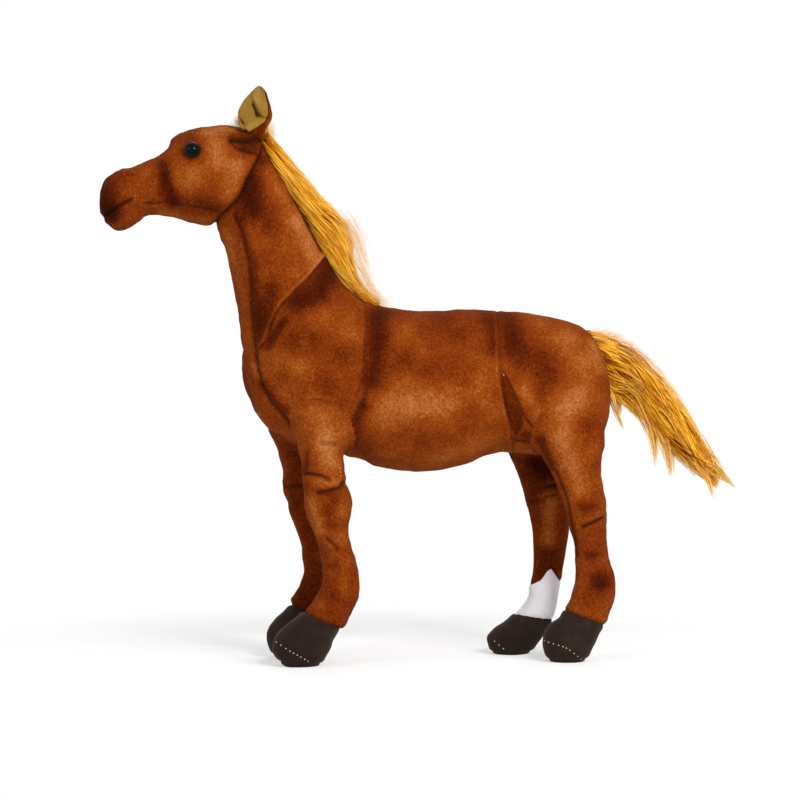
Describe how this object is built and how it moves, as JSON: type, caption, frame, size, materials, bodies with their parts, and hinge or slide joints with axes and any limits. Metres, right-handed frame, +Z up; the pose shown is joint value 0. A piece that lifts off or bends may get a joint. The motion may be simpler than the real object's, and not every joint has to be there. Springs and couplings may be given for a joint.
{
  "type": "plush horse",
  "caption": "Standing stuffed toy horse in short chestnut plush, with a long golden pile mane and tail, dark felt hooves, one white hind sock and domed black eyes.",
  "frame": {"origin": "on the floor under the middle of the horse, at the bottom centre of its bounding box", "axes": "+X towards the tail, -X towards the nose, -Y the horse's left side, +Y its right side, +Z up"},
  "size_m": [0.4418, 0.0874, 0.4],
  "materials": {
    "plush_chestnut": "matte",
    "pile_gold": "matte",
    "ear_lining_olive": "matte",
    "hoof_felt": "matte",
    "sock_white": "matte",
    "eye_black": "gloss",
    "washer_plastic": "matte",
    "fibre_fill": "matte",
    "tape_tan": "matte"
  },
  "bodies": {
    "horse": {"head_skin": "plush_chestnut", "neck_skin": "plush_chestnut", "forequarter_skin": "plush_chestnut", "barrel_skin": "plush_chestnut", "hindquarter_skin": "plush_chestnut", "fore_left_leg_skin": "plush_chestnut", "fore_left_hoof": "hoof_felt", "fore_left_sole": "hoof_felt", "fore_left_leg_filling": "fibre_fill", "fore_right_leg_skin": "plush_chestnut", "fore_right_hoof": "hoof_felt", "fore_right_sole": "hoof_felt", "fore_right_leg_filling": "fibre_fill", "hind_left_leg_skin": "plush_chestnut", "hind_left_hoof": "hoof_felt", "hind_left_sole": "hoof_felt", "hind_left_leg_filling": "fibre_fill", "hind_right_leg_skin": "plush_chestnut", "hind_right_hoof": "hoof_felt", "hind_right_sole": "hoof_felt", "hind_right_leg_filling": "fibre_fill", "hind_right_sock": "sock_white", "head_filling": "fibre_fill", "neck_filling": "fibre_fill", "body_filling": "fibre_fill", "eye_left": "eye_black", "eye_washer_left": "washer_plastic", "eye_right": "eye_black", "eye_washer_right": "washer_plastic", "mane": "pile_gold", "forelock": "pile_gold", "mane_backing": "tape_tan"},
    "left_ear": {"ear_outer_left": "plush_chestnut", "ear_lining_left": "ear_lining_olive"},
    "right_ear": {"ear_outer_right": "plush_chestnut", "ear_lining_right": "ear_lining_olive"},
    "tail_root": {"tail_tab": "tape_tan"},
    "tail": {"tail": "pile_gold"}
  },
  "joints": [
    {"name": "ear_left_bend", "type": "hinge", "parent": "horse", "child": "left_ear", "pos_m": [-0.11895, -0.01047, 0.36446], "axis": [0.8149, 0.3949, -0.4242], "range_deg": [-12, 30], "stiffness_Nm_per_rad": 0.02},
    {"name": "ear_right_bend", "type": "hinge", "parent": "horse", "child": "right_ear", "pos_m": [-0.11895, 0.01047, 0.36446], "axis": [-0.8149, 0.3949, 0.4242], "range_deg": [-12, 30], "stiffness_Nm_per_rad": 0.02},
    {"name": "tail_lift", "type": "hinge", "parent": "horse", "child": "tail_root", "pos_m": [0.1215, 0, 0.22908], "axis": [0, -1, 0], "range_deg": [-4, 50], "stiffness_Nm_per_rad": 0.3, "springref_deg": 0.57},
    {"name": "tail_sway", "type": "hinge", "parent": "tail_root", "child": "tail", "pos_m": [0.12934, 0, 0.22578], "axis": [0.389, 0, 0.9213], "range_deg": [-25, 25], "stiffness_Nm_per_rad": 0.15}
  ]
}
